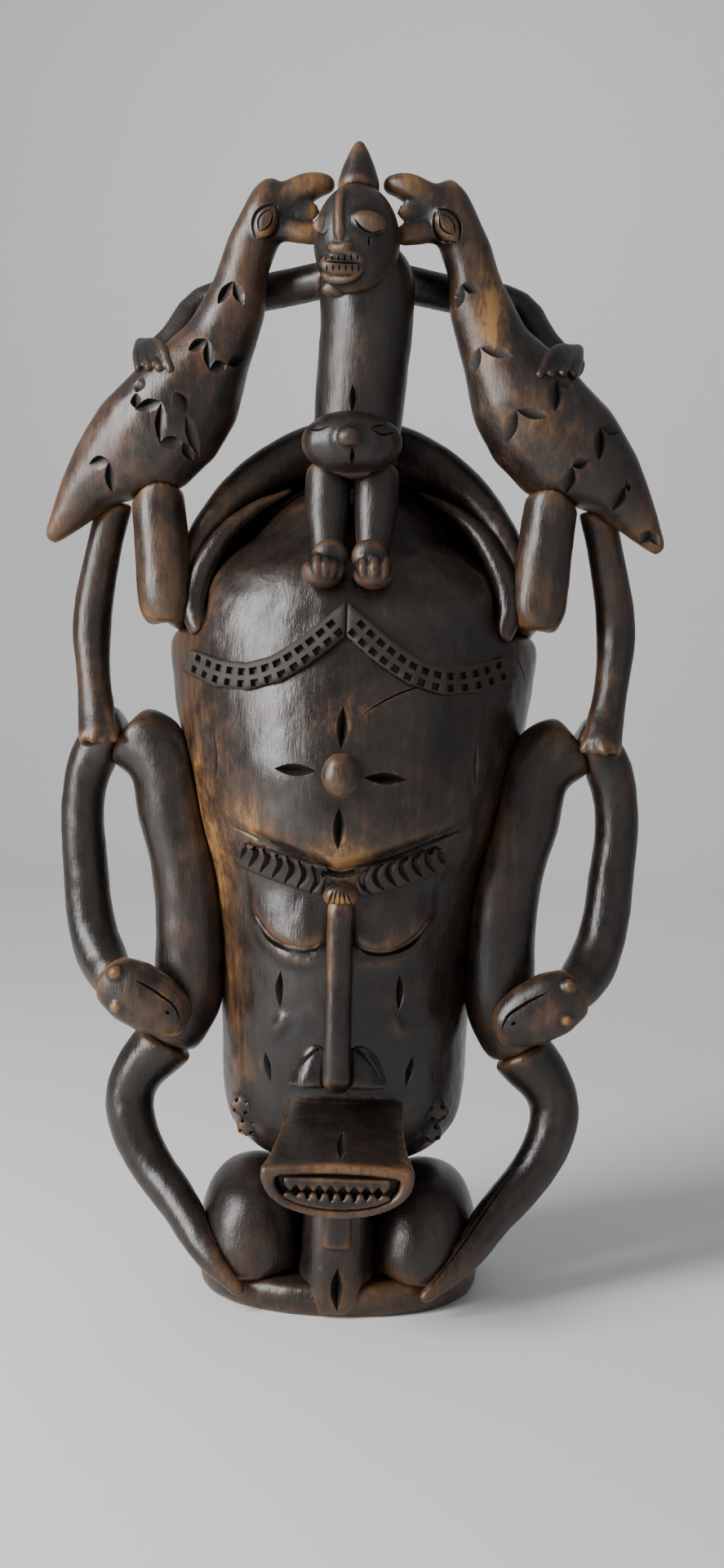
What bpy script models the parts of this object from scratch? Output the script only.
"""Carved wooden mask: a hollow face under a hood, with a standing figure, two birds and two snakes.

Run with blender --background --python part.py, or from Blender's text editor. The model is in metres,
+Z up, with the face towards -Y. The origin is the centre of the base's flat underside. Left and right
are the viewer's, so left is -X. Sizes below are in millimetres. Each carved element is one closed
solid, and every piece that rests on another is cut to its host's surface with a thin clearance.
"""

import math

import bpy
from mathutils import Euler, Matrix, Vector

MM = 0.001

# ---- clearances
GAP = 0.35  # between a piece and the host that it is cut to fit
SLIT = 0.4  # between two pieces that only face each other
SINK = 2.0  # how far a piece is modelled into its host before it is cut to fit

# ---- base
BACK = 36.0  # flat back of the whole carving, behind the origin
BASE_HALF_WIDTH = 57.0
BASE_FRONT = 43.0
PLINTH_HEIGHT = 12.0
KNEE_HEIGHT = 52.0
KNEE_HALF_WIDTH = 23.0
COLUMN_HALF_WIDTH = 15.0
COLUMN_FRONT = 46.0
BASE_CENTRE_Y = 8.0  # where the base is widest
TAB_HALF_WIDTH = 6.0
TAB_LENGTH = 22.0
TAB_THICKNESS = 3.0

# ---- face shell
CHIN_HEIGHT = 50.0
FACE_HEIGHT = 283.0
FACE_HALF_WIDTH = 76.0
FACE_DEPTH = 74.0  # from the widest line of the shell forward to the forehead
FACE_CENTRE_Y = 14.0
WALL = 9.0
HOLLOW_BOTTOM, HOLLOW_TOP = 0.085, 0.93  # shares of the face's height

# ---- hood
HOOD_THICKNESS = 10.0
HOOD_RISE = 11.0  # how much thicker the hood is at its top than at its ends
HOOD_FRONT_TOP, HOOD_FRONT_END = -6.0, -22.0
ROLL_RADIUS = 5.5

# ---- features of the face
NOSE_HALF_WIDTH = 4.9
NOSE_REACH = 12.0
NOSTRIL_HALF_WIDTH = 8.0
NOSTRIL_HEIGHT = 18.0
BOSS_RADIUS = 7.6
KNOT_HALF_WIDTH = 6.5
LID_HALF_WIDTH = 15.5
LID_HEIGHT = 10.5
BAND_WIDTH = 10.5
BROW_WIDTH = 12.5
BAND_THICKNESS = 2.4

# ---- mouth
SNOUT_REACH = 44.0
SNOUT_ROOT_DEPTH = 3.0  # how far the snout's root is let into the face
SNOUT_UNDERSIDE_RISE = 1.0  # of the snout's root over the lip's underside
SNOUT_HALF_WIDTH = 22.3
SNOUT_SHIFT = 3.0  # the mouth is carved a little to the right of the nose
LIP_HALF_WIDTH = 28.0
LIP_HEIGHT = 17.0
LIP_RIM = 2.4
POCKET_DEPTH = 6.0
TEETH_COUNT = 9
TEETH_THICKNESS = 3.0

# ---- figure
LEG_RADIUS = 8.6
LEG_LENGTH = 42.0
TORSO_RADIUS = 18.0
TORSO_LEAN = 4.0  # how far the shoulders lean to the right
TORSO_LENGTH = 82.0
BELLY_HALF_WIDTH = 19.5
HEAD_HALF_WIDTH = 16.3
HEAD_HALF_HEIGHT = 21.5
HEAD_TURN = math.radians(-18)
CREST_HEIGHT = 17.5
ARM_RADIUS = 7.0

# ---- birds
BIRD_LENGTH = 150.0  # from the centre of its head to the tip of its tail
BEAK_LENGTH = 25.0
POST_RADIUS = 11.4
SHANK_RADIUS = 7.0

# ---- snakes
COIL_RADIUS = 14.6
COIL_Y = -5.0
NECK_RADIUS = 9.1
LOOP_GAP = 18.5
LOOP_TOP, LOOP_BOTTOM = 0.616, 0.27  # shares of the face's height
SNAKE_HEAD_LENGTH = 40.0
SNAKE_HEAD_WIDTH = 26.0
SNAKE_HEAD_TILT = math.radians(29)
TAIL_TIP_RADIUS = 2.6

# Outline of the face shell, from chin to crown: height share, half-width share, depth share.
FACE_OUTLINE = (
    (0.000, 0.29, 0.36),
    (0.021, 0.49, 0.51),
    (0.057, 0.62, 0.63),
    (0.106, 0.66, 0.70),
    (0.194, 0.67, 0.755),
    (0.318, 0.70, 0.785),
    (0.410, 0.755, 0.81),
    (0.452, 0.79, 0.88),
    (0.480, 0.82, 0.945),
    (0.572, 0.895, 1.00),
    (0.671, 0.97, 0.975),
    (0.740, 1.00, 0.92),
    (0.770, 1.00, 0.88),
)
# Outline of the skull cap above the ledge that the hood stands on, in the same shares.
CAP_OUTLINE = (
    (0.774, 0.855, 0.87),
    (0.830, 0.74, 0.80),
    (0.890, 0.64, 0.66),
    (0.943, 0.50, 0.47),
    (0.982, 0.32, 0.27),
    (1.000, 0.14, 0.13),
)
# Middle of the hairline's upper edge, from just past the centre out: half-width share, height share.
HAIRLINE = (
    (-0.040, 0.801),
    (0.105, 0.768),
    (0.210, 0.745),
    (0.342, 0.723),
    (0.487, 0.713),
    (0.645, 0.718),
    (0.829, 0.738),
)
LEDGE = FACE_OUTLINE[-1][0]
RIM_SHARE = 0.86  # half-width of the shell's back rim just above the ledge


# ---------------------------------------------------------------- scene and materials


def clear_scene():
    for obj in list(bpy.data.objects):
        bpy.data.objects.remove(obj)


def new_collection(name, hidden=False):
    made = bpy.data.collections.new(name)
    made.hide_render = hidden
    bpy.context.scene.collection.children.link(made)
    return made


def wood(name, colour, roughness):
    made = bpy.data.materials.new(name)
    made.use_nodes = True
    shader = made.node_tree.nodes["Principled BSDF"]
    shader.inputs["Base Color"].default_value = (*colour, 1.0)
    shader.inputs["Roughness"].default_value = roughness
    shader.inputs["Metallic"].default_value = 0.0
    return made


clear_scene()
PARTS = new_collection("carved_mask")
HELPERS = new_collection("cutters", hidden=True)
DARK_WOOD = wood("dark_wood", (0.045, 0.024, 0.013), 0.42)
WORN_WOOD = wood("worn_wood", (0.16, 0.075, 0.028), 0.45)
SOOTY_WOOD = wood("sooty_wood", (0.018, 0.011, 0.008), 0.5)


# ---------------------------------------------------------------- modelling helpers


RIGHT, BACKWARD = Vector((1, 0, 0)), Vector((0, 1, 0))


def mm(x, y, z):
    return Vector((x, y, z)) * MM


def new_object(name, mesh, material=DARK_WOOD):
    obj = bpy.data.objects.new(name, mesh)
    mesh.materials.clear()
    mesh.materials.append(material)
    PARTS.objects.link(obj)
    mesh.shade_smooth()
    mesh.set_sharp_from_angle(angle=math.radians(40))
    return obj


def lofted(name, rings, material=DARK_WOOD):
    """A closed skin over rings of points, which all hold the same number, in millimetres."""
    count = len(rings[0])
    points = [mm(*p) for ring in rings for p in ring]
    faces = [tuple(reversed(range(count)))]
    for level in range(len(rings) - 1):
        low, high = level * count, (level + 1) * count
        for i in range(count):
            after = (i + 1) % count
            faces.append((low + i, low + after, high + after, high + i))
    faces.append(tuple(range(high, high + count)))
    mesh = bpy.data.meshes.new(name)
    mesh.from_pydata(points, [], faces)
    return facing_out(new_object(name, mesh, material))


def facing_out(obj):
    """Turns an object's faces round if they point inwards."""
    volume = 0.0
    mesh = obj.data
    mesh.calc_loop_triangles()
    for triangle in mesh.loop_triangles:
        a, b, c = (mesh.vertices[i].co for i in triangle.vertices)
        volume += a.dot(b.cross(c))
    if volume < 0:
        mesh.flip_normals()
    return obj


def ring_about(centre, across, along, half_width, half_depth, count=16, square=2.0):
    """Points of a superellipse round a centre, in the plane of two unit vectors."""
    points = []
    for i in range(count):
        turn = 2 * math.pi * i / count
        c, s = math.cos(turn), math.sin(turn)
        x = math.copysign(abs(c) ** (2 / square), c) * half_width
        y = math.copysign(abs(s) ** (2 / square), s) * half_depth
        points.append(centre + across * x + along * y)
    return points


def swept(name, stations, material, count):
    """A body through stations of (centre, half-width, half-depth), in a plane that faces the viewer."""
    forward = Vector((0, -1, 0))
    centres = [Vector(s[0]) for s in stations]
    rings = []
    for i, (_, half_width, half_depth) in enumerate(stations):
        before, after = centres[max(i - 1, 0)], centres[min(i + 1, len(centres) - 1)]
        heading = (after - before).normalized()
        across = heading.cross(forward).normalized()
        depth = across.cross(heading).normalized()
        rings.append(ring_about(centres[i], across, depth, half_width, half_depth, count))
    return lofted(name, rings, material)


def limb(name, route, material=DARK_WOOD, sides=3, steps=3):
    """A round limb along a smooth curve through (x, y, z, radius) points, with filled ends."""
    curve = bpy.data.curves.new(name, "CURVE")
    curve.dimensions = "3D"
    curve.bevel_depth = MM
    curve.bevel_resolution = sides
    curve.resolution_u = steps
    curve.use_fill_caps = True
    spline = curve.splines.new("BEZIER")
    spline.bezier_points.add(len(route) - 1)
    spline.radius_interpolation = "CARDINAL"
    for point, (x, y, z, radius) in zip(spline.bezier_points, route):
        point.co = mm(x, y, z)
        point.radius = radius
        point.handle_left_type = point.handle_right_type = "AUTO"
    guide = bpy.data.objects.new(name + "_guide", curve)
    HELPERS.objects.link(guide)
    bpy.context.view_layer.update()
    graph = bpy.context.evaluated_depsgraph_get()
    mesh = bpy.data.meshes.new_from_object(guide.evaluated_get(graph))
    bpy.data.objects.remove(guide)
    obj = new_object(name, mesh, material)
    merge_doubles(obj)
    return facing_out(obj)


def merge_doubles(obj, distance=0.00002):
    bpy.ops.object.select_all(action="DESELECT")
    bpy.context.view_layer.objects.active = obj
    obj.select_set(True)
    bpy.ops.object.mode_set(mode="EDIT")
    bpy.ops.mesh.select_all(action="SELECT")
    bpy.ops.mesh.remove_doubles(threshold=distance)
    bpy.ops.mesh.normals_make_consistent(inside=False)
    bpy.ops.object.mode_set(mode="OBJECT")


def egg(name, centre, radii, turn=(0, 0, 0), material=DARK_WOOD, segments=14, rings=9):
    """An ellipsoid with its size and turn applied to the mesh."""
    bpy.ops.mesh.primitive_uv_sphere_add(segments=segments, ring_count=rings, radius=1.0)
    obj = bpy.context.object
    for owner in list(obj.users_collection):
        owner.objects.unlink(obj)
    place = Matrix.Translation(mm(*centre)) @ Euler(turn).to_matrix().to_4x4()
    obj.data.transform(place @ Matrix.Diagonal((*[r * MM for r in radii], 1.0)))
    mesh = obj.data
    bpy.data.objects.remove(obj)
    return new_object(name, mesh, material)


def slab(name, low, high):
    """A box between two corners, for cutting."""
    bpy.ops.mesh.primitive_cube_add(size=1.0)
    obj = bpy.context.object
    for owner in list(obj.users_collection):
        owner.objects.unlink(obj)
    middle = [(a + b) / 2 for a, b in zip(low, high)]
    size = [(b - a) * MM for a, b in zip(low, high)]
    obj.data.transform(Matrix.Translation(mm(*middle)) @ Matrix.Diagonal((*size, 1.0)))
    HELPERS.objects.link(obj)
    obj.name = name
    hide(obj)
    return obj


def prism(name, outline, y_front, y_back, material=DARK_WOOD):
    """A flat outline of (x, z) points, extruded from the front to the back."""
    curve = bpy.data.curves.new(name, "CURVE")
    curve.dimensions = "2D"
    curve.fill_mode = "BOTH"
    curve.extrude = (y_back - y_front) / 2 * MM
    spline = curve.splines.new("POLY")
    spline.points.add(len(outline) - 1)
    spline.use_cyclic_u = True
    for point, (x, z) in zip(spline.points, outline):
        point.co = (x * MM, z * MM, 0.0, 1.0)
    guide = bpy.data.objects.new(name + "_guide", curve)
    HELPERS.objects.link(guide)
    upright = Euler((math.pi / 2, 0, 0)).to_matrix().to_4x4()
    guide.matrix_world = Matrix.Translation(mm(0, (y_front + y_back) / 2, 0)) @ upright
    bpy.context.view_layer.update()
    graph = bpy.context.evaluated_depsgraph_get()
    mesh = bpy.data.meshes.new_from_object(guide.evaluated_get(graph))
    mesh.transform(guide.matrix_world)
    bpy.data.objects.remove(guide)
    obj = new_object(name, mesh, material)
    merge_doubles(obj)
    return facing_out(obj)


def hide(obj):
    obj.hide_render = True
    obj.display_type = "WIRE"


def combine(obj, other, operation, solver="EXACT"):
    """Applies a Boolean of one object on another."""
    modifier = obj.modifiers.new(operation.lower(), "BOOLEAN")
    modifier.operation = operation
    modifier.object = other
    modifier.solver = solver
    bpy.context.view_layer.update()
    graph = bpy.context.evaluated_depsgraph_get()
    mesh = bpy.data.meshes.new_from_object(obj.evaluated_get(graph))
    obj.modifiers.remove(modifier)
    old = obj.data
    obj.data = mesh
    bpy.data.meshes.remove(old)


def join(obj, *others):
    for other in others:
        combine(obj, other, "UNION")
        bpy.data.objects.remove(other)
    return obj


def cut(obj, *cutters, solver="EXACT"):
    for cutter in cutters:
        combine(obj, cutter, "DIFFERENCE", solver)
        bpy.data.objects.remove(cutter)
    return obj


def mirrored(name, obj):
    """A copy on the other side of the middle plane."""
    mesh = obj.data.copy()
    mesh.transform(Matrix.Diagonal((-1, 1, 1, 1)))
    mesh.flip_normals()
    made = bpy.data.objects.new(name, mesh)
    PARTS.objects.link(made)
    return made


def pair(name, build):
    """Builds the right-hand piece, and its mirror image on the left."""
    right = build("right_" + name)
    mirrored("left_" + name, right)


def swollen(name):
    """A helper with the shape of a piece, grown by the clearance on every side."""
    mesh = FORMS[name].copy()
    grown = [v.co + v.normal * GAP * MM for v in mesh.vertices]
    for vertex, point in zip(mesh.vertices, grown):
        vertex.co = point
    made = bpy.data.objects.new(name + "_swollen", mesh)
    HELPERS.objects.link(made)
    hide(made)
    return made


# ---------------------------------------------------------------- surfaces that other pieces rest on


def face_height(share):
    return CHIN_HEIGHT + share * FACE_HEIGHT


def outline_at(z):
    """Half-width and depth of the face shell's front at a height."""
    share = (z - CHIN_HEIGHT) / FACE_HEIGHT
    rows = FACE_OUTLINE if share <= LEDGE else CAP_OUTLINE
    share = min(max(share, rows[0][0]), rows[-1][0])
    for (s0, w0, d0), (s1, w1, d1) in zip(rows, rows[1:]):
        if share <= s1:
            t = (share - s0) / (s1 - s0)
            return (w0 + (w1 - w0) * t) * FACE_HALF_WIDTH, (d0 + (d1 - d0) * t) * FACE_DEPTH
    raise ValueError("the height is above the crown")


def side_at(z):
    return outline_at(z)[0]


def skin_y(x, z):
    """The y of the face's front surface."""
    half_width, depth = outline_at(z)
    inside = max(0.0, 1 - (x / half_width) ** 2)
    return FACE_CENTRE_Y - depth * math.sqrt(inside)


def skin_normal(x, z, step=1.5):
    dx = (skin_y(x + step, z) - skin_y(x - step, z)) / (2 * step)
    dz = (skin_y(x, z + step) - skin_y(x, z - step)) / (2 * step)
    return Vector((dx, -1.0, dz)).normalized()


def rim_radius_x():
    return FACE_HALF_WIDTH * RIM_SHARE


def rim_radius_z():
    return FACE_HEIGHT * (1.0 - LEDGE) + 1.0


def rim_at(z):
    """Half-width of the shell's back rim under the hood."""
    rise = (z - face_height(LEDGE)) / rim_radius_z()
    return rim_radius_x() * math.sqrt(max(0.0, 1 - rise**2))


def hood_front(turn):
    ends = abs(math.cos(turn)) ** 1.5
    return HOOD_FRONT_TOP + (HOOD_FRONT_END - HOOD_FRONT_TOP) * ends


def hood_point(turn, outward, y):
    """A point of the hood: outward 0 is its inner face, and 1 its outer face."""
    thickness = HOOD_THICKNESS + HOOD_RISE * math.sin(turn)
    reach = SLIT + outward * thickness
    x = (rim_radius_x() + SLIT + outward * HOOD_THICKNESS) * math.cos(turn)
    z = face_height(LEDGE) + SLIT + (rim_radius_z() + reach) * math.sin(turn)
    return Vector((x, y, z))


# ---------------------------------------------------------------- base


def base_outline(inset, count=20):
    """A D-shaped outline: a rounded front and a flat back."""
    points = []
    for i in range(count + 1):
        turn = math.pi * i / count
        c, s = math.cos(turn), math.sin(turn)
        x = math.copysign(abs(c) ** 0.9, c) * (BASE_HALF_WIDTH - inset)
        points.append((x, BASE_CENTRE_Y - (BASE_FRONT + BASE_CENTRE_Y - inset) * s**0.9))
    points.append((inset - BASE_HALF_WIDTH, BACK))
    points.append((BASE_HALF_WIDTH - inset, BACK))
    return points


def build_base():
    levels = ((2.0, 0.0), (0.0, 3.0), (0.0, PLINTH_HEIGHT - 3.0), (3.0, PLINTH_HEIGHT))
    lofted("plinth", [[Vector((x, y, z)) for x, y in base_outline(inset)] for inset, z in levels], WORN_WOOD)
    build_column()
    pair("knee", build_knee)


def build_column():
    """The pillar under the chin, whose foot comes down over the front of the plinth."""
    rings = []
    for z, half_width, front in (
        (1.5, 1.06, 2.0),
        (6.0, 1.1, 0.0),
        (PLINTH_HEIGHT + 6.0, 0.98, 0.8),
        (PLINTH_HEIGHT + 20.0, 0.94, 2.5),
        (CHIN_HEIGHT + 8.0, 1.0, 5.0),
    ):
        y_front, y_back = front - COLUMN_FRONT, BACK - 8.0
        centre = Vector((1.0, (y_front + y_back) / 2, z))
        half_depth = (y_back - y_front) / 2
        width = COLUMN_HALF_WIDTH * half_width
        rings.append(ring_about(centre, RIGHT, BACKWARD, width, half_depth, 18, 3.0))
    lofted("neck_column", rings, WORN_WOOD)


def build_knee(name):
    """A tall rounded bulge on each side of the pillar."""
    y_front, y_back = 4.0 - BASE_FRONT, BACK - 1.0
    half_depth = (y_back - y_front) / 2
    rings = []
    profile = ((0.0, 1.0), (0.3, 0.99), (0.55, 0.93), (0.76, 0.78), (0.9, 0.56), (0.97, 0.34), (1.0, 0.12))
    for share, size in profile:
        z = PLINTH_HEIGHT - SINK + (KNEE_HEIGHT - PLINTH_HEIGHT + SINK) * share
        x = BASE_HALF_WIDTH - KNEE_HALF_WIDTH - 1.0 + 2.0 * share
        centre = Vector((x, (y_front + y_back) / 2, z))
        rings.append(ring_about(centre, RIGHT, BACKWARD, KNEE_HALF_WIDTH * size, half_depth * size, 16, 2.2))
    return lofted(name, rings, WORN_WOOD)


def build_tab():
    """The small flat beard under the lip, on the front of the pillar."""
    top = CHIN_HEIGHT + 2.0
    front = 2.5 - COLUMN_FRONT - TAB_THICKNESS
    rings = []
    for z, half_width in ((top - TAB_LENGTH - 2.0, TAB_HALF_WIDTH), (top, TAB_HALF_WIDTH - 1.0)):
        centre = Vector((1.5, front + 4.5, z))
        rings.append(ring_about(centre, RIGHT, BACKWARD, half_width, 4.5, 12, 3.0))
    lofted("beard_tab", rings, WORN_WOOD)


# ---------------------------------------------------------------- face shell and hood


def shell_ring(z, rim, half_width, depth, back, count=18):
    """One level of the shell: its flat back, the rim beside it, and the rounded front."""
    shoulder = FACE_CENTRE_Y + 5.0
    points = [Vector((rim, back, z)), Vector((rim, shoulder, z))]
    for i in range(count + 1):
        turn = math.pi * i / count
        points.append(Vector((half_width * math.cos(turn), FACE_CENTRE_Y - depth * math.sin(turn), z)))
    points += [Vector((-rim, shoulder, z)), Vector((-rim, back, z))]
    return points


def build_shell():
    rings = []
    for share, width_share, depth_share in FACE_OUTLINE:
        half_width = width_share * FACE_HALF_WIDTH
        rings.append(shell_ring(face_height(share), half_width, half_width, depth_share * FACE_DEPTH, BACK))
    for share, width_share, depth_share in CAP_OUTLINE:
        z = face_height(share)
        half_width = width_share * FACE_HALF_WIDTH
        rings.append(shell_ring(z, rim_at(z), half_width, depth_share * FACE_DEPTH, BACK))
    lofted("mask_shell", rings)


def hollow():
    """The inside of the shell, open at the back."""
    levels = 12
    rings = []
    for i in range(levels + 1):
        t = i / levels
        z = face_height(HOLLOW_BOTTOM + (HOLLOW_TOP - HOLLOW_BOTTOM) * t)
        half_width, depth = outline_at(z)
        half_width = min(half_width, rim_at(z) if z > face_height(LEDGE) else half_width)
        taper = 0.72 if i in (0, levels) else 1.0
        half_width, depth = (half_width - WALL) * taper, (depth - WALL) * taper
        rings.append(shell_ring(z, half_width, half_width, depth, BACK + 6.0, 12))
    made = lofted("hollow", rings)
    hide(made)
    return made


def build_hood():
    steps = 22
    rings = []
    for i in range(steps + 1):
        turn = math.pi * i / steps
        front = hood_front(turn)
        rings.append(
            [
                hood_point(turn, 0.0, BACK),
                hood_point(turn, 0.0, front + 3.0),
                hood_point(turn, 0.18, front + 0.8),
                hood_point(turn, 0.5, front),
                hood_point(turn, 0.85, front + 2.0),
                hood_point(turn, 1.0, front + 6.0),
                hood_point(turn, 1.0, BACK - 2.5),
                hood_point(turn, 0.82, BACK),
            ]
        )
    lofted("hood", rings, SOOTY_WOOD)
    pair("hood_roll", build_roll)


def build_roll(name):
    """The rolled lip inside the hood's front edge, thick at the temple and thin above."""
    route = []
    for degrees, radius, back_off in ((66, 1.6, 2.0), (48, 3.0, 1.0), (28, 4.6, 0.0), (8, ROLL_RADIUS, 0.0)):
        point = hood_point(math.radians(degrees), -0.25, hood_front(math.radians(degrees)) + back_off)
        route.append((*point, radius))
    x, y, z, _ = route[-1]
    route.append((x - 3.5, y - 4.0, z - 13.0, ROLL_RADIUS * 0.7))
    return limb(name, route)


# ---------------------------------------------------------------- features on the face


def strap(name, route, width, thickness, material):
    """A flat band that lies on the face along (x, z) points."""
    rings = []
    for i, (x, z) in enumerate(route):
        before, after = route[max(i - 1, 0)], route[min(i + 1, len(route) - 1)]
        normal = skin_normal(x, z)
        heading = Vector((after[0] - before[0], 0, after[1] - before[1]))
        heading = (heading - normal * heading.dot(normal)).normalized()
        across = normal.cross(heading).normalized()
        surface = Vector((x, skin_y(x, z), z))
        high, low = surface + normal * thickness, surface - normal * SINK
        edge, lip = width / 2, width / 2 - 0.8
        rings.append(
            [low - across * edge, low + across * edge, high + across * edge - normal * 0.8,
             high + across * lip, high - across * lip, high - across * edge - normal * 0.8]
        )
    return lofted(name, rings, material)


def build_brow(name):
    route = [(6.0, 0.424), (14.0, 0.430), (22.0, 0.438), (30.0, 0.446), (38.5, 0.455)]
    return strap(name, [(x, face_height(s)) for x, s in route], BROW_WIDTH, BAND_THICKNESS, SOOTY_WOOD)


def build_hairline(name):
    """Half of the pointed hairline, cut square where it meets the other half."""
    points = [(x * FACE_HALF_WIDTH, face_height(share) - BAND_WIDTH / 2) for x, share in HAIRLINE]
    band = strap(name, points, BAND_WIDTH, BAND_THICKNESS, SOOTY_WOOD)
    top = face_height(1.0)
    return cut(band, slab("other_half", (-60, -120, 0), (SLIT / 2, 40, top)))


def build_lid(name):
    x, z = LID_HALF_WIDTH + NOSE_HALF_WIDTH - 1.0, face_height(0.368)
    turn = math.atan2(skin_y(x + 8, z) - skin_y(x - 8, z), 16.0)
    return egg(name, (x, skin_y(x, z) + 1.5, z), (LID_HALF_WIDTH, 5.5, LID_HEIGHT), (0, 0, turn))


def build_nose():
    top, bottom = face_height(0.398), face_height(0.137)
    rings = []
    for t, reach, half_width in (
        (0.0, 0.35, 0.80),
        (0.06, 0.50, 0.95),
        (0.45, 0.62, 1.0),
        (0.80, 0.88, 1.05),
        (0.95, 1.0, 1.15),
        (1.0, 0.80, 0.80),
    ):
        z = top + (bottom - top) * t
        base = skin_y(0, z) + SINK * 2
        front = skin_y(0, z) - NOSE_REACH * reach
        centre = Vector((0, (base + front) / 2, z))
        half_depth = (base - front) / 2
        rings.append(ring_about(centre, RIGHT, BACKWARD, NOSE_HALF_WIDTH * half_width, half_depth, 12, 2.6))
    lofted("nose_ridge", rings, WORN_WOOD)


def build_nostril(name):
    """A quarter dome beside the nose, cut flat below."""
    z = face_height(0.140)
    x = NOSE_HALF_WIDTH + NOSTRIL_HALF_WIDTH * 0.55
    radii = (NOSTRIL_HALF_WIDTH * 1.15, 8.5, NOSTRIL_HEIGHT)
    wing = egg(name, (x, skin_y(x, z) + 1.0, z), radii, (0, math.radians(-14), 0))
    return cut(wing, slab("below", (-50, -100, z - 60), (50, 50, z)))


def build_face_features():
    pair("brow_band", build_brow)
    pair("hairline_band", build_hairline)
    pair("eyelid", build_lid)
    build_nose()
    pair("nostril", build_nostril)
    z = face_height(0.403)
    egg("brow_knot", (0, skin_y(0, z) - 1.5, z), (KNOT_HALF_WIDTH, 5.0, 4.6), material=WORN_WOOD)
    z = face_height(0.566)
    radii = (BOSS_RADIUS, BOSS_RADIUS * 0.84, BOSS_RADIUS * 1.12)
    egg("forehead_boss", (0, skin_y(0, z) + 1.0, z), radii, material=WORN_WOOD)


# ---------------------------------------------------------------- mouth


def snout_ring(y, top, bottom, half_width, count=18):
    """A section of the snout: nearly flat above, rounded below."""
    points = []
    for i in range(count + 1):
        turn = math.pi * i / count
        x = SNOUT_SHIFT + half_width * math.cos(turn)
        points.append(Vector((x, y, top - (top - bottom) * math.sin(turn) ** 0.75)))
    for i in range(1, 6):
        t = i / 6
        x = SNOUT_SHIFT + half_width * (2 * t - 1)
        points.append(Vector((x, y, top + 1.6 * math.sin(math.pi * t))))
    return points


def lip_levels():
    """Heights of the lip's top and bottom edges, and its y."""
    top = CHIN_HEIGHT + LIP_HEIGHT
    return top, CHIN_HEIGHT, skin_y(0, face_height(0.1)) - SNOUT_REACH


def build_snout():
    top, bottom, lip_y = lip_levels()
    root_y = skin_y(0, face_height(0.1)) + SNOUT_ROOT_DEPTH
    root_top = face_height(0.118)
    rings = []
    for t, widen in ((0.0, 0.0), (0.25, 0.02), (0.5, 0.16), (0.75, 0.5), (0.93, 0.9), (1.0, 1.0)):
        y = root_y + (lip_y - root_y) * t
        half_width = SNOUT_HALF_WIDTH + (LIP_HALF_WIDTH - SNOUT_HALF_WIDTH) * widen
        underside = bottom + SNOUT_UNDERSIDE_RISE * (1 - t)
        rings.append(snout_ring(y, root_top + (top - root_top) * t, underside, half_width))
    snout = lofted("mouth_snout", rings)
    pocket = [
        snout_ring(y, top - LIP_RIM, bottom + LIP_RIM, LIP_HALF_WIDTH - LIP_RIM * 2)
        for y in (lip_y - 5.0, lip_y + POCKET_DEPTH)
    ]
    cut(snout, lofted("pocket", pocket))
    build_teeth(top, bottom, lip_y)


def arch_z(x, top, bottom, half_width):
    """Height of the lower lip's inner edge."""
    inside = max(0.0, 1 - (x / half_width) ** 2)
    return top - (top - bottom) * inside**0.375


def build_teeth(top, bottom, lip_y):
    """Two toothed bars inside the lips: the upper teeth point down, the lower ones up."""
    half_width = LIP_HALF_WIDTH - LIP_RIM * 2 - 4.0
    pitch = 2 * half_width / TEETH_COUNT
    ceiling, floor = top - LIP_RIM - SLIT, bottom + LIP_RIM + SLIT
    middle = (ceiling + floor) / 2 + 0.6
    y_front, y_back = lip_y + POCKET_DEPTH - TEETH_THICKNESS - SLIT, lip_y + POCKET_DEPTH - SLIT

    upper = [(half_width, ceiling), (-half_width, ceiling)]
    for i in range(TEETH_COUNT):
        left = -half_width + i * pitch
        upper += [(left, ceiling - 2.0), (left + pitch * 0.5, middle + SLIT)]
    upper.append((half_width, ceiling - 2.0))
    prism("upper_teeth", shifted(upper), y_front, y_back, WORN_WOOD)

    inner = LIP_HALF_WIDTH - LIP_RIM * 2
    lower = []
    for i in range(TEETH_COUNT + 1):
        x = half_width - i * pitch
        lower.append((x, arch_z(x, ceiling - SLIT, floor, inner) + 0.6))
    for i in range(TEETH_COUNT):
        left = -half_width + i * pitch
        root = arch_z(left, ceiling - SLIT, floor, inner) + 2.4
        tip = min(middle - SLIT, ceiling - 4.6)
        lower += [(left, min(root, tip - 0.3)), (left + pitch * 0.3, tip), (left + pitch * 0.7, tip)]
    root = arch_z(half_width, ceiling - SLIT, floor, inner) + 2.4
    lower.append((half_width, min(root, middle - SLIT - 0.3)))
    prism("lower_teeth", shifted(lower), y_front, y_back, WORN_WOOD)


def shifted(outline):
    return [(x + SNOUT_SHIFT, z) for x, z in outline]


# ---------------------------------------------------------------- standing figure


def figure_levels():
    """Heights of the feet, hips, shoulders and head centre."""
    feet = face_height(0.826)
    hips = feet + LEG_LENGTH
    shoulders = hips + TORSO_LENGTH
    return feet, hips, shoulders, shoulders + HEAD_HALF_HEIGHT * 0.24


def torso_y(z):
    """The torso stands upright in front of the hood."""
    return skin_y(0, face_height(0.93)) - 7.0


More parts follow.
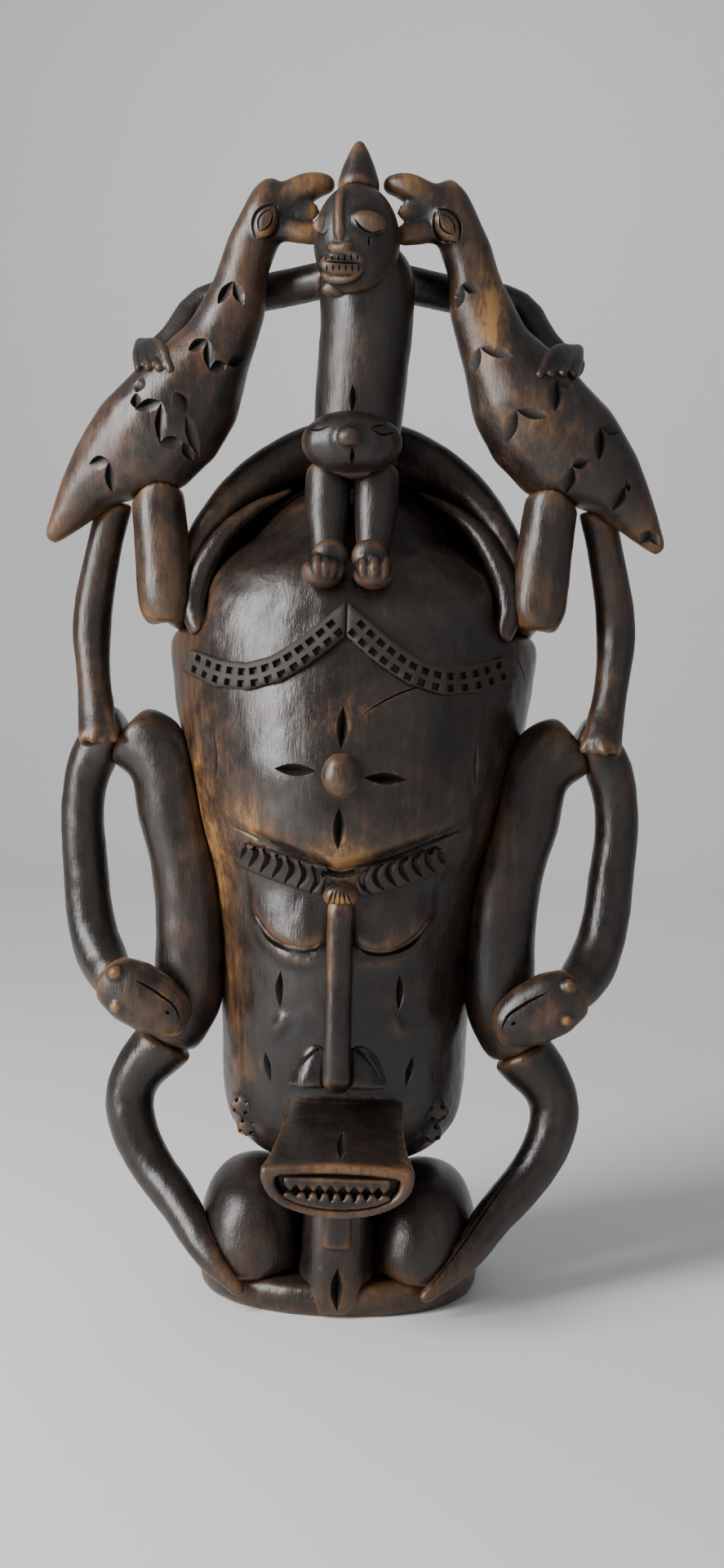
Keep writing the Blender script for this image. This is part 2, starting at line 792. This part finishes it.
def build_leg(name):
    feet, hips, _, _ = figure_levels()
    x = LEG_RADIUS + SLIT / 2 + 0.6
    y = torso_y(hips)
    leg = limb(
        name,
        [
            (x, y - 2.0, hips + 4.0, LEG_RADIUS * 1.02),
            (x, y - 5.0, hips - LEG_LENGTH * 0.35, LEG_RADIUS * 0.98),
            (x - 0.5, y - 11.0, feet + 10.0, LEG_RADIUS * 0.72),
            (x, y - 16.0, feet + 2.0, LEG_RADIUS * 0.85),
        ],
    )
    toes = (x + 0.3, y - 20.0, feet + 3.0)
    foot = egg(name + "_foot", toes, (LEG_RADIUS * 0.98, 9.0, 6.0), (math.radians(20), 0, 0))
    return join(leg, foot)


def build_figure():
    feet, hips, shoulders, head_z = figure_levels()
    pair("leg", build_leg)
    y = torso_y(hips)
    stations = (
        (-2.0, 0.84, 0.80),
        (8.0, 0.92, 0.88),
        (30.0, 0.96, 0.93),
        (TORSO_LENGTH - 24.0, 1.0, 0.95),
        (TORSO_LENGTH - 6.0, 1.02, 0.95),
        (TORSO_LENGTH + 2.0, 0.86, 0.8),
        (TORSO_LENGTH + 8.0, 0.55, 0.5),
    )
    rings = []
    for rise, wide, deep in stations:
        lean = TORSO_LEAN * min(1.0, rise / TORSO_LENGTH * 1.4)
        rings.append(((lean, y, hips + rise), TORSO_RADIUS * wide, TORSO_RADIUS * deep))
    swept("figure_torso", rings, DARK_WOOD, 16)
    egg("belly", (0, y - 13.0, hips + 11.0), (BELLY_HALF_WIDTH, 13.0, 12.0), material=WORN_WOOD)
    head_y = y - TORSO_RADIUS * 0.72
    egg(
        "figure_head", (0, head_y, head_z), (HEAD_HALF_WIDTH, HEAD_HALF_WIDTH * 1.06, HEAD_HALF_HEIGHT),
        (0, 0, HEAD_TURN), segments=18, rings=12,
    )
    build_crest(head_y, head_z + HEAD_HALF_HEIGHT)
    pair("arm", build_arm)


def build_crest(y, foot):
    profile = ((-0.23, 7.6, 8.5), (0.1, 7.8, 8.0), (0.42, 6.2, 6.4), (0.76, 3.6, 4.2), (1.0, 1.3, 1.8))
    stations = [((0, y + 3.0, foot + CREST_HEIGHT * share), wide, deep) for share, wide, deep in profile]
    swept("crest", stations, WORN_WOOD, 14)


def build_arm(name):
    """From the shoulder, out behind the bird's neck, with the hand on the bird's back."""
    _, hips, shoulders, _ = figure_levels()
    y = torso_y(hips)
    neck, back = bird_place(4, 0.5), bird_place(6, 1.0)
    return limb(
        name,
        [
            (TORSO_RADIUS * 0.6, y + 6.0, shoulders - 3.0, ARM_RADIUS),
            (neck.x - 8.0, neck.y + 18.0, shoulders - 5.5, ARM_RADIUS),
            (neck.x + 12.0, neck.y + 23.0, shoulders - 8.0, ARM_RADIUS),
            (back.x - 12.0, back.y + 13.0, back.z + 14.0, ARM_RADIUS * 0.98),
            (back.x + 1.0, back.y + 8.0, back.z + 2.0, ARM_RADIUS * 0.8),
        ],
    )


# ---------------------------------------------------------------- birds


# Ribs of the right-hand bird, from its crown to its tail, in shares of its length from its head's centre:
# back x and z, belly x and z, backward shift, and half-depth.
BIRD_RIBS = (
    (-0.003, 0.105, -0.033, 0.099, 0.00, 0.015),
    (0.030, 0.072, -0.053, 0.055, 0.00, 0.050),
    (0.053, 0.029, -0.057, -0.011, 0.00, 0.062),
    (0.097, -0.051, -0.007, -0.137, 0.02, 0.066),
    (0.131, -0.147, 0.000, -0.240, 0.04, 0.074),
    (0.200, -0.262, 0.040, -0.371, 0.06, 0.092),
    (0.330, -0.370, 0.071, -0.505, 0.07, 0.118),
    (0.434, -0.475, 0.125, -0.599, 0.08, 0.122),
    (0.501, -0.584, 0.211, -0.681, 0.09, 0.100),
    (0.544, -0.691, 0.390, -0.725, 0.10, 0.062),
    (0.573, -0.778, 0.490, -0.791, 0.11, 0.036),
    (0.584, -0.819, 0.554, -0.836, 0.11, 0.014),
)


def bird_head():
    """Centre of the right-hand bird's head, beside the figure's head."""
    _, hips, _, head_z = figure_levels()
    return Vector((HEAD_HALF_WIDTH + 20.2, torso_y(hips) - 3.0, head_z + 12.0))


def bird_place(rib, outward):
    """A point of the bird: outward 0 is the middle line at a rib, 1 its back, and -1 its belly."""
    back_x, back_z, belly_x, belly_z, shift, _ = BIRD_RIBS[rib]
    back, belly = Vector((back_x, shift, back_z)), Vector((belly_x, shift, belly_z))
    middle = (back + belly) / 2
    return bird_head() + (middle + (back - middle) * outward) * BIRD_LENGTH


def build_bird(name):
    rings = []
    for rib, row in enumerate(BIRD_RIBS):
        centre, back = bird_place(rib, 0.0), bird_place(rib, 1.0)
        across = (back - centre).normalized()
        rings.append(ring_about(centre, across, BACKWARD, (back - centre).length, row[5] * BIRD_LENGTH, 14))
    body = lofted(name, rings, WORN_WOOD)
    upper = build_beak(name + "_upper_beak", 9.0, 0.31)
    lower = build_beak(name + "_lower_beak", -5.0, 0.24)
    return join(body, upper, lower)


def build_beak(name, rise, thickness):
    """One half of the open beak, which closes on the side of the figure's head."""
    head = bird_head()
    reach = head.x - 9.0
    width = BEAK_LENGTH * thickness
    return limb(
        name,
        [
            (head.x - 1.0, head.y, head.z + rise * 0.2, width),
            (head.x - reach * 0.42, head.y - 2.0, head.z + rise * 0.9, width * 0.85),
            (head.x - reach * 0.72, head.y - 3.0, head.z + rise * 1.35, width * 0.65),
            (head.x - reach * 0.98, head.y - 2.0, head.z + rise * 1.4, width * 0.4),
        ],
        sides=2,
    )


def build_post(name):
    """The thick leg that stands on the side of the mask, at the hood's foot."""
    top = bird_place(8, -0.5)
    foot_z = face_height(LEDGE) + 7.0
    foot_x = FACE_HALF_WIDTH - POST_RADIUS * 0.25
    foot_y = HOOD_FRONT_END + 2.0
    return limb(
        name,
        [
            (top.x, top.y, top.z, POST_RADIUS * 0.9),
            ((top.x + foot_x) / 2, (top.y + foot_y) / 2, (top.z + foot_z) / 2, POST_RADIUS * 0.96),
            (foot_x, foot_y, foot_z + 2.0, POST_RADIUS * 1.04),
            (foot_x - 0.6, foot_y, foot_z - 6.0, POST_RADIUS * 0.8),
        ],
        sides=4,
    )


def build_shank(name):
    """The jointed leg behind the post: down to a knee, and on to a claw over the snake's loop."""
    top = bird_place(9, -0.3)
    x, z = loop_crown()
    claw_x = x + NECK_RADIUS
    return limb(
        name,
        [
            (top.x - 6.0, top.y + 8.0, top.z, SHANK_RADIUS),
            (top.x - 1.0, top.y + 11.0, top.z - 20.0, SHANK_RADIUS),
            (claw_x + 7.0, -4.0, z + 46.0, SHANK_RADIUS * 1.12),
            (claw_x + 5.0, -8.0, z + 22.0, SHANK_RADIUS * 0.95),
            (claw_x + 2.0, -13.0, z + 5.0, SHANK_RADIUS * 1.1),
            (claw_x + 0.5, -17.0, z - 3.0, SHANK_RADIUS * 1.15),
        ],
    )


# ---------------------------------------------------------------- snakes


def coil_x(z):
    """Middle line of the snake's thick part, which lies along the side of the face."""
    return side_at(z) + COIL_RADIUS * 0.47


def neck_x():
    return coil_x(face_height(0.43)) + COIL_RADIUS + LOOP_GAP + NECK_RADIUS


def loop_crown():
    """The middle of the loop's top bend."""
    return neck_x() - NECK_RADIUS - LOOP_GAP * 0.42, face_height(LOOP_TOP)


def snake_head_centre():
    z = face_height(LOOP_BOTTOM) - 8.0
    return Vector((coil_x(z) + COIL_RADIUS * 1.35, COIL_Y - COIL_RADIUS - 3.0, z))


def build_coil(name):
    """The thick part, from the crown of the loop down past the head."""
    x, z = loop_crown()
    waist, low = face_height(0.43), face_height(LOOP_BOTTOM)
    return limb(
        name,
        [
            (x, COIL_Y + 2.0, z, COIL_RADIUS * 0.94),
            (x - 15.0, COIL_Y, z - 10.0, COIL_RADIUS * 1.03),
            (coil_x(z - 30.0) + 0.5, COIL_Y, z - 30.0, COIL_RADIUS * 1.03),
            (coil_x(waist), COIL_Y, waist, COIL_RADIUS),
            (coil_x(low) + 4.0, COIL_Y + 1.0, low, COIL_RADIUS * 1.02),
            (coil_x(low) + 6.0, COIL_Y + 2.0, low - 12.0, COIL_RADIUS * 0.98),
            (coil_x(low) + 13.0, COIL_Y + 3.0, low - 27.0, COIL_RADIUS * 0.86),
        ],
        sides=4,
    )


def build_neck(name):
    """The slim part outside the loop, from its crown down to the head."""
    x, z = loop_crown()
    outer = neck_x()
    head = snake_head_centre()
    return limb(
        name,
        [
            (x, COIL_Y + 2.0, z, COIL_RADIUS * 0.94),
            (outer - 5.0, COIL_Y + 2.0, z - 6.0, NECK_RADIUS * 1.15),
            (outer + 1.0, COIL_Y + 2.0, z - 22.0, NECK_RADIUS * 0.97),
            (outer, COIL_Y + 2.0, z - 54.0, NECK_RADIUS),
            (outer - 4.0, COIL_Y, head.z + 25.0, NECK_RADIUS * 1.06),
            (outer - 10.0, COIL_Y - 6.0, head.z + 13.0, NECK_RADIUS * 1.08),
            (outer - 17.0, head.y + 2.0, head.z + 6.0, NECK_RADIUS * 0.9),
        ],
        sides=4,
    )


def build_snake_head(name):
    """A blunt head laid across the thick part, with its nose towards the face."""
    centre = snake_head_centre()
    axis = Vector((-math.cos(SNAKE_HEAD_TILT), 0, -math.sin(SNAKE_HEAD_TILT)))
    stations = []
    for share, wide, thick in (
        (-0.50, 0.42, 0.50),
        (-0.40, 0.78, 0.76),
        (-0.16, 1.0, 0.94),
        (0.12, 0.96, 0.88),
        (0.34, 0.74, 0.68),
        (0.47, 0.44, 0.42),
    ):
        point = centre + axis * SNAKE_HEAD_LENGTH * share
        stations.append((point, SNAKE_HEAD_WIDTH / 2 * wide, 9.5 * thick))
    return swept(name, stations, WORN_WOOD, 14)


def build_tail(name):
    """From the thick part, out to an elbow, then in over the knee to the tip."""
    low = face_height(LOOP_BOTTOM)
    start = coil_x(low) + 13.0
    knee_x = BASE_HALF_WIDTH - KNEE_HALF_WIDTH
    return limb(
        name,
        [
            (start, COIL_Y + 3.0, low - 27.0, COIL_RADIUS * 0.86),
            (start + 14.0, COIL_Y + 3.0, CHIN_HEIGHT + 31.0, COIL_RADIUS * 0.70),
            (start + 14.5, COIL_Y + 1.0, CHIN_HEIGHT + 18.0, COIL_RADIUS * 0.66),
            (knee_x + 44.0, COIL_Y - 3.0, CHIN_HEIGHT, COIL_RADIUS * 0.60),
            (knee_x + 30.0, COIL_Y - 13.0, CHIN_HEIGHT - 14.0, COIL_RADIUS * 0.54),
            (knee_x + 15.0, 10.0 - BASE_FRONT, PLINTH_HEIGHT + 8.0, COIL_RADIUS * 0.40),
            (knee_x + 1.0, 1.0 - BASE_FRONT, PLINTH_HEIGHT - 4.0, TAIL_TIP_RADIUS),
        ],
        sides=4,
    )


# ---------------------------------------------------------------- assembly

SIDES = ("left_", "right_")

# Each piece, and the hosts that it is cut to fit. A word with {} stands for both sides.
SEATS = (
    ("neck_column", ("plinth", "mask_shell")),
    ("{}knee", ("plinth", "neck_column")),
    ("mouth_snout", ("mask_shell", "neck_column")),
    ("beard_tab", ("neck_column", "mouth_snout")),
    ("nose_ridge", ("mask_shell", "mouth_snout")),
    ("brow_knot", ("mask_shell", "nose_ridge")),
    ("{}nostril", ("mask_shell", "nose_ridge", "mouth_snout")),
    ("{}brow_band", ("mask_shell", "brow_knot", "nose_ridge")),
    ("{}eyelid", ("mask_shell", "nose_ridge", "{}brow_band")),
    ("forehead_boss", ("mask_shell",)),
    ("hood", ("mask_shell",)),
    ("{}hood_roll", ("mask_shell", "hood")),
    ("{}leg", ("mask_shell", "hood")),
    ("{}hairline_band", ("mask_shell", "{}leg", "{}hood_roll")),
    ("figure_torso", ("mask_shell", "hood", "left_leg", "right_leg")),
    ("belly", ("figure_torso", "left_leg", "right_leg")),
    ("figure_head", ("figure_torso",)),
    ("crest", ("figure_head", "figure_torso")),
    ("{}bird", ("figure_head", "crest", "figure_torso", "hood")),
    ("{}arm", ("figure_torso", "figure_head", "{}bird")),
    ("{}post", ("{}bird", "mask_shell", "hood", "{}hood_roll")),
    ("{}snake_coil", ("mask_shell",)),
    ("{}snake_neck", ("mask_shell", "{}snake_coil")),
    ("{}snake_head", ("{}snake_coil", "{}snake_neck", "mask_shell")),
    ("{}snake_tail", ("{}snake_coil", "{}snake_head", "{}knee", "plinth", "mask_shell")),
    ("{}shank", ("{}bird", "{}post", "{}snake_coil", "{}snake_neck", "mask_shell")),
)

FORMS = {}


def seat_pieces():
    """Cuts every piece to its hosts, which are taken as they were before they were cut themselves.

    The seats meet in nearly coincident faces, which the exact solver can lose, so they use the manifold one.
    """
    for obj in PARTS.objects:
        FORMS[obj.name] = obj.data.copy()
    for piece, hosts in SEATS:
        for side in SIDES if "{}" in piece else ("",):
            obj = PARTS.objects[piece.format(side)]
            for host in hosts:
                cut(obj, swollen(host.format(side)), solver="MANIFOLD")


def build():
    build_base()
    build_tab()
    build_shell()
    build_hood()
    build_face_features()
    build_snout()
    build_figure()
    pair("bird", build_bird)
    pair("post", build_post)
    pair("shank", build_shank)
    pair("snake_coil", build_coil)
    pair("snake_neck", build_neck)
    pair("snake_head", build_snake_head)
    pair("snake_tail", build_tail)
    seat_pieces()
    cut(PARTS.objects["mask_shell"], hollow())
    for obj in PARTS.objects:
        obj.data.shade_smooth()
        obj.data.set_sharp_from_angle(angle=math.radians(40))


build()
